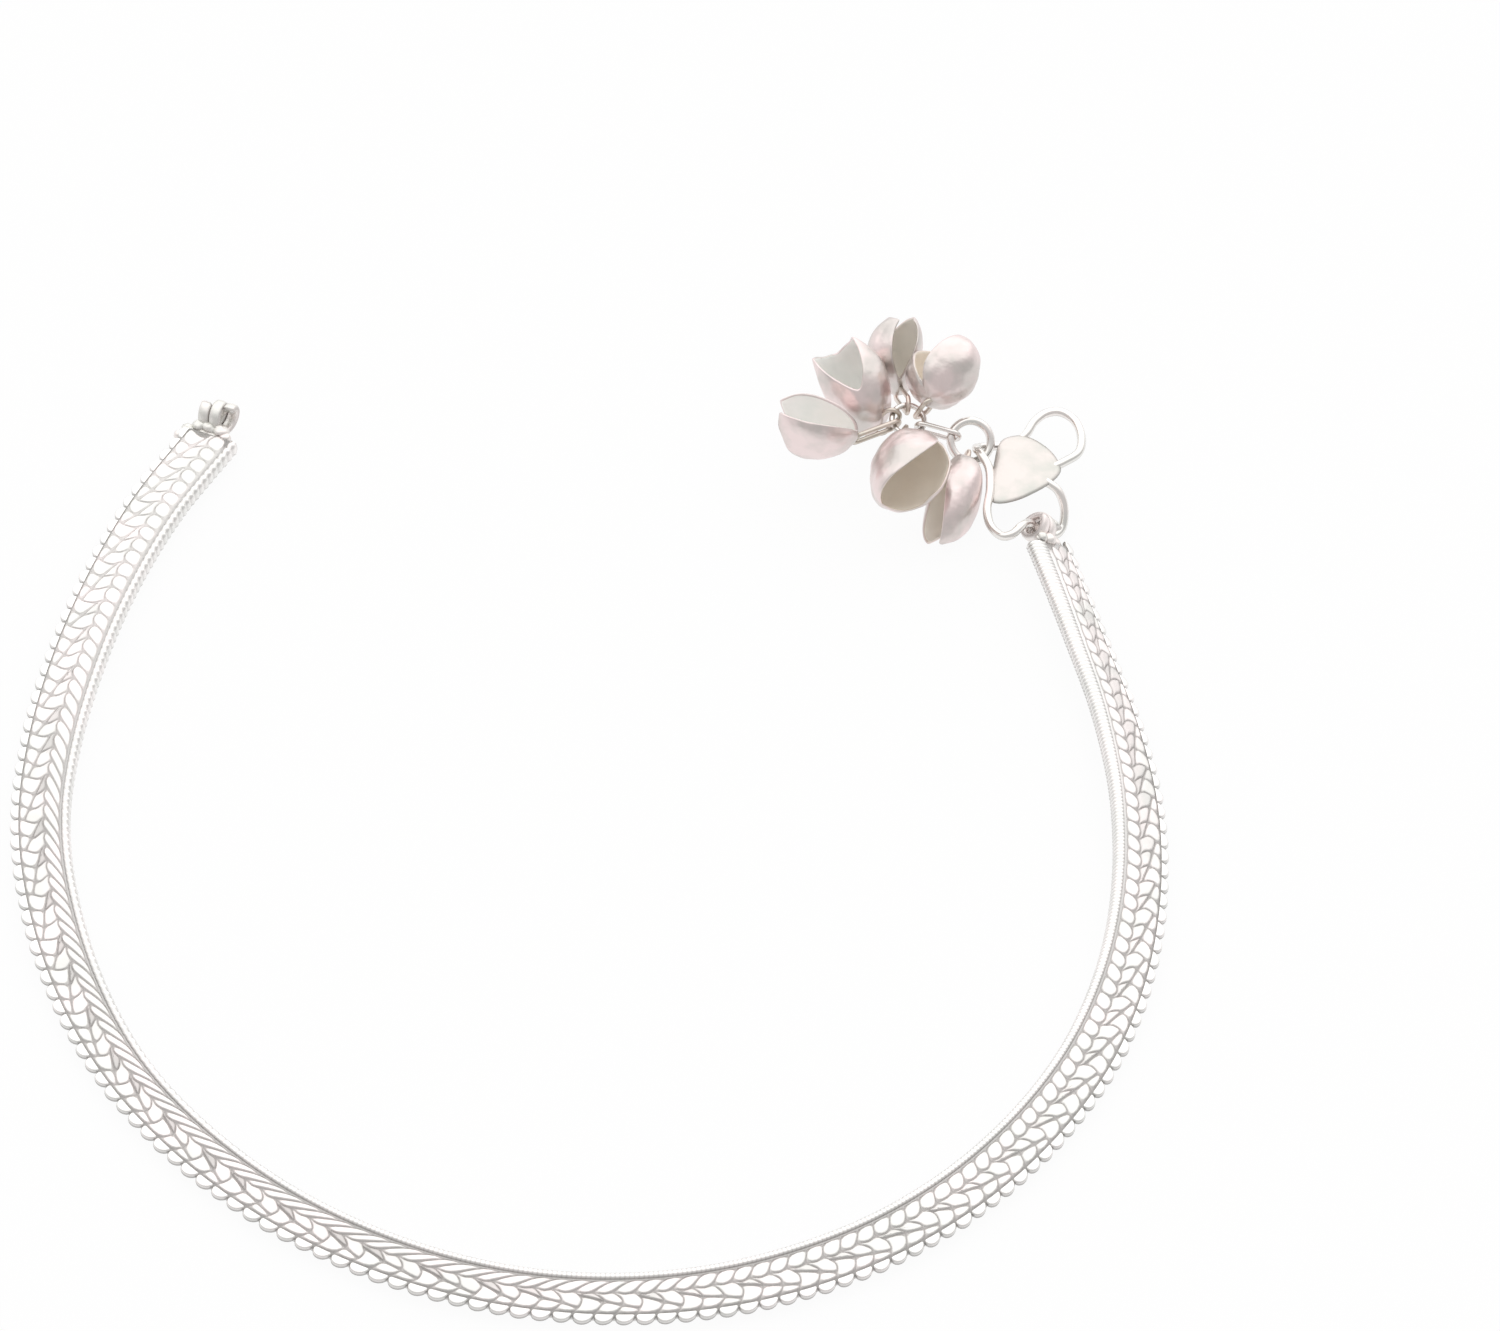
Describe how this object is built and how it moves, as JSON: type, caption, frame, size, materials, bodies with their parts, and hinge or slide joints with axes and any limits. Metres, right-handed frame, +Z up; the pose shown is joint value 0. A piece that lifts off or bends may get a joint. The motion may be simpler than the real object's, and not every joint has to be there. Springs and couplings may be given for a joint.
{
  "type": "anklet",
  "caption": "Open woven-mesh silver anklet with a wire hook clasp, leaf plate and a cluster of small split bells.",
  "frame": {"origin": "middle of the anklet's box seen from above, on the surface it lies on", "axes": "+Z up, out of the surface; the band's gap and the clasp are at +Y, the front of the loop at -Y"},
  "size_m": [0.1074, 0.1218, 0.0123],
  "materials": {
    "band_silver": "bright woven silver wire, pale, with dark lines between the wires",
    "clasp_silver": "polished silver wire and a near-white domed plate",
    "bell_silver": "thin pressed silver, pinkish grey outside, taupe inside, lightly dented"
  },
  "bodies": {
    "root": {"woven_band": "band_silver", "hook_clasp": "clasp_silver", "bell_ring": "clasp_silver", "gather_ring": "clasp_silver", "ring_link": "clasp_silver", "bell_1": "bell_silver", "bell_2": "bell_silver", "bell_3": "bell_silver", "bell_4": "bell_silver", "bell_5": "bell_silver", "bell_6": "bell_silver"}
  },
  "joints": []
}
